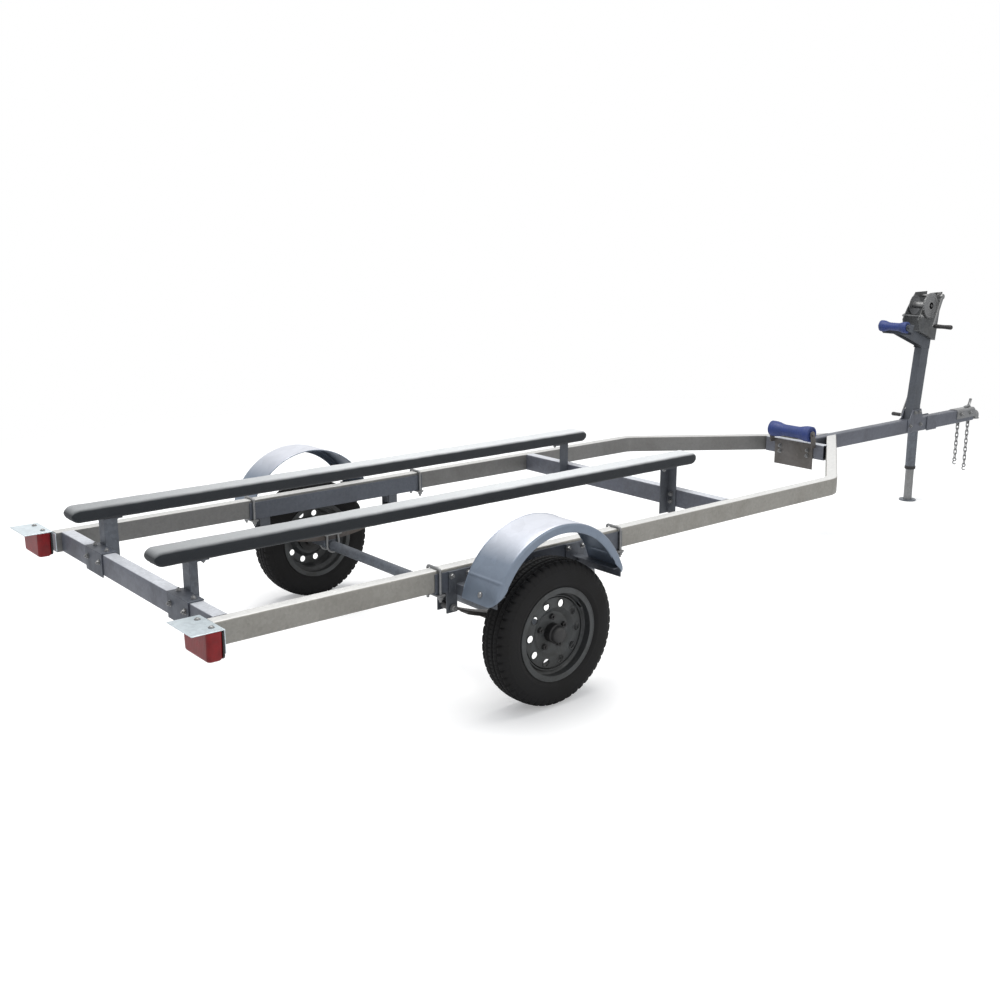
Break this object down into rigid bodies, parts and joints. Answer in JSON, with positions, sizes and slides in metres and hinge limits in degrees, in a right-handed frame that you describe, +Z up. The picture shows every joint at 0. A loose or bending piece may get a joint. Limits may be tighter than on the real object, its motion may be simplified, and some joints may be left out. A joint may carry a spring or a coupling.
{
  "type": "boat trailer",
  "caption": "Single-axle galvanised bunk boat trailer with a bent-rail frame, fenders, keel roller, winch post, tail lights and swing-up jack.",
  "frame": {"origin": "on the ground, under the middle of the trailer's box", "axes": "+X forwards to the coupler, +Y to the trailer's left, +Z up"},
  "size_m": [5.5, 1.798, 1.2355],
  "materials": {
    "galvanised": "hot-dip galvanised, mottled and dull",
    "zinc": "bright zinc plate",
    "rim_grey": "grey galvanised paint",
    "tyre_rubber": "dull black",
    "carpet": "short carpet over board",
    "roller_blue": "satin",
    "black_paint": "semi-gloss black",
    "lens_red": "gloss",
    "grip_black": "matte black"
  },
  "bodies": {
    "frame": {"left_rail": "galvanised", "right_rail": "galvanised", "rear_crossmember": "galvanised", "middle_crossmember": "galvanised", "front_crossmember": "galvanised", "tongue": "galvanised", "winch_post": "galvanised", "post_base": "galvanised", "bow_arm": "galvanised", "bow_bracket": "galvanised", "keel_bracket": "galvanised", "bunk_brackets": "galvanised", "rear_bunk_posts": "galvanised", "front_bunk_posts": "galvanised", "axle": "galvanised", "left_leaf_spring": "galvanised", "right_leaf_spring": "galvanised", "spring_hangers": "galvanised", "left_axle_carrier": "galvanised", "right_axle_carrier": "galvanised", "left_fender": "galvanised", "right_fender": "galvanised", "fender_arms": "galvanised", "coupler": "zinc", "coupler_latch": "zinc", "safety_chains": "zinc", "winch_frame": "zinc", "axle_ties": "zinc", "carrier_bolts": "zinc", "light_brackets": "zinc", "jack_bracket": "zinc", "left_bunk": "carpet", "right_bunk": "carpet", "left_tail_light": "lens_red", "right_tail_light": "lens_red"},
    "left_wheel": {"left_tyre": "tyre_rubber", "left_rim": "rim_grey", "left_hub": "black_paint"},
    "right_wheel": {"right_tyre": "tyre_rubber", "right_rim": "rim_grey", "right_hub": "black_paint"},
    "keel_roller": {"keel_roller": "roller_blue"},
    "bow_roller": {"bow_roller": "roller_blue"},
    "winch_drum": {"winch_drum": "zinc"},
    "winch_crank": {"winch_handle": "grip_black"},
    "jack": {"jack_tube": "zinc"},
    "jack_leg": {"jack_leg": "zinc", "jack_foot": "zinc"},
    "jack_crank": {"jack_handle": "grip_black"}
  },
  "joints": [
    {"name": "left_wheel_spin", "type": "hinge", "parent": "frame", "child": "left_wheel", "pos_m": [-1.466, 0.792, 0.262], "axis": [0, 1, 0], "continuous": true},
    {"name": "right_wheel_spin", "type": "hinge", "parent": "frame", "child": "right_wheel", "pos_m": [-1.466, -0.792, 0.262], "axis": [0, 1, 0], "continuous": true},
    {"name": "keel_roller_spin", "type": "hinge", "parent": "frame", "child": "keel_roller", "pos_m": [0.91802, 0, 0.576], "axis": [0, 1, 0], "continuous": true},
    {"name": "bow_roller_spin", "type": "hinge", "parent": "frame", "child": "bow_roller", "pos_m": [1.78324, 0, 1.059], "axis": [0, 1, 0], "continuous": true},
    {"name": "winch_crank_turn", "type": "hinge", "parent": "frame", "child": "winch_crank", "pos_m": [2.11837, 0, 1.2112], "axis": [0, 1, 0], "continuous": true},
    {"name": "winch_drum_turn", "type": "hinge", "parent": "frame", "child": "winch_drum", "pos_m": [2.03824, 0, 1.164], "axis": [0, 1, 0], "continuous": true},
    {"name": "jack_swing", "type": "hinge", "parent": "frame", "child": "jack", "pos_m": [2.2, 0.086, 0.484], "axis": [0, 1, 0], "range_deg": [0, 90]},
    {"name": "jack_lift", "type": "slide", "parent": "jack", "child": "jack_leg", "axis": [0, 0, 1], "range_m": [-0.06, 0.17]},
    {"name": "jack_crank_turn", "type": "hinge", "parent": "jack", "child": "jack_crank", "pos_m": [2.2, 0.086, 0.658], "axis": [0, 1, 0], "continuous": true}
  ],
  "couplings": [
    {"joint": "winch_crank_turn", "follows": "winch_drum_turn", "ratio": -3.4286}
  ]
}
